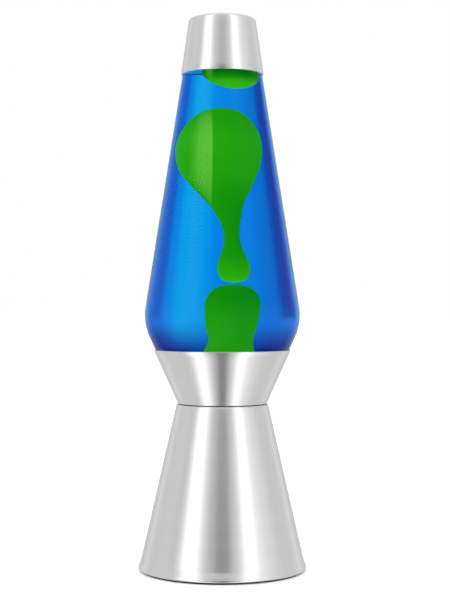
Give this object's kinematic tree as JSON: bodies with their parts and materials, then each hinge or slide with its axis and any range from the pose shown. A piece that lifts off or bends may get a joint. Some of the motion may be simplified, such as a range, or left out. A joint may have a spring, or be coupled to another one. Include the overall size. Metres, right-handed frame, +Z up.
{
  "type": "lava lamp",
  "caption": "Rocket-shaped lava lamp: sealed bottle of blue liquid with drifting green wax, in a spun metal hourglass base with a matching cap.",
  "frame": {"origin": "centre of the circle that the foot ring stands on", "axes": "+Z up along the lamp's axis, through the cap; the cord gland is on the +Y side, the rear"},
  "size_m": [0.1262, 0.1262, 0.414],
  "materials": {
    "spun_aluminium": "satin",
    "bottle_glass": "polished",
    "blue_liquid": "polished",
    "green_wax": "satin",
    "crown_tinplate": "satin",
    "plated_steel": "satin",
    "brass": "satin",
    "porcelain": "gloss",
    "bulb_envelope": "polished",
    "black_plastic": "matte",
    "rubber": "matte"
  },
  "bodies": {
    "base": {"foot_ring": "rubber", "bottom_cover": "plated_steel", "lower_base": "spun_aluminium", "upper_base": "spun_aluminium", "waist_screw_1": "plated_steel", "waist_screw_2": "plated_steel", "waist_screw_3": "plated_steel", "waist_nut_1": "plated_steel", "waist_nut_2": "plated_steel", "waist_nut_3": "plated_steel", "lamp_bracket": "plated_steel", "cord_gland": "black_plastic", "gland_nut": "black_plastic", "holder_body": "porcelain", "holder_screw_shell": "brass", "holder_centre_contact": "brass", "holder_nipple": "plated_steel", "holder_lock_nut": "plated_steel", "terminal_screw_1": "brass", "terminal_screw_2": "brass"},
    "bottle": {"bottle_glass": "bottle_glass", "liquid": "blue_liquid", "wax_top_blob": "green_wax", "wax_column": "green_wax", "heat_coil": "plated_steel", "crown_cap": "crown_tinplate", "crown_liner": "rubber"},
    "cap": {"top_cap": "spun_aluminium"},
    "wax": {"wax_middle_blob": "green_wax"},
    "bulb_tip": {"bulb_tip_contact": "crown_tinplate"},
    "bulb": {"bulb_glass": "bulb_envelope", "bulb_screw_shell": "brass", "bulb_insulator": "black_plastic", "bulb_stem": "bulb_envelope", "bulb_lead_wire_1": "plated_steel", "bulb_lead_wire_2": "plated_steel", "bulb_filament": "plated_steel"}
  },
  "joints": [
    {"name": "bottle_lift", "type": "slide", "parent": "base", "child": "bottle", "axis": [0, 0, 1], "range_m": [0, 0.06]},
    {"name": "cap_lift", "type": "slide", "parent": "bottle", "child": "cap", "axis": [0, 0, 1], "range_m": [0, 0.06]},
    {"name": "wax_rise", "type": "slide", "parent": "bottle", "child": "wax", "axis": [0, 0, 1], "range_m": [0, 0.012]},
    {"name": "bulb_rise", "type": "slide", "parent": "base", "child": "bulb_tip", "axis": [0, 0, 1], "range_m": [0, 0.00846]},
    {"name": "bulb_turn", "type": "hinge", "parent": "bulb_tip", "child": "bulb", "pos_m": [0, 0, 0.0542], "axis": [0, 0, 1], "range_deg": [0, 1080]}
  ],
  "couplings": [
    {"joint": "bulb_rise", "follows": "bulb_turn", "m_per_rad": 0.00044882}
  ]
}
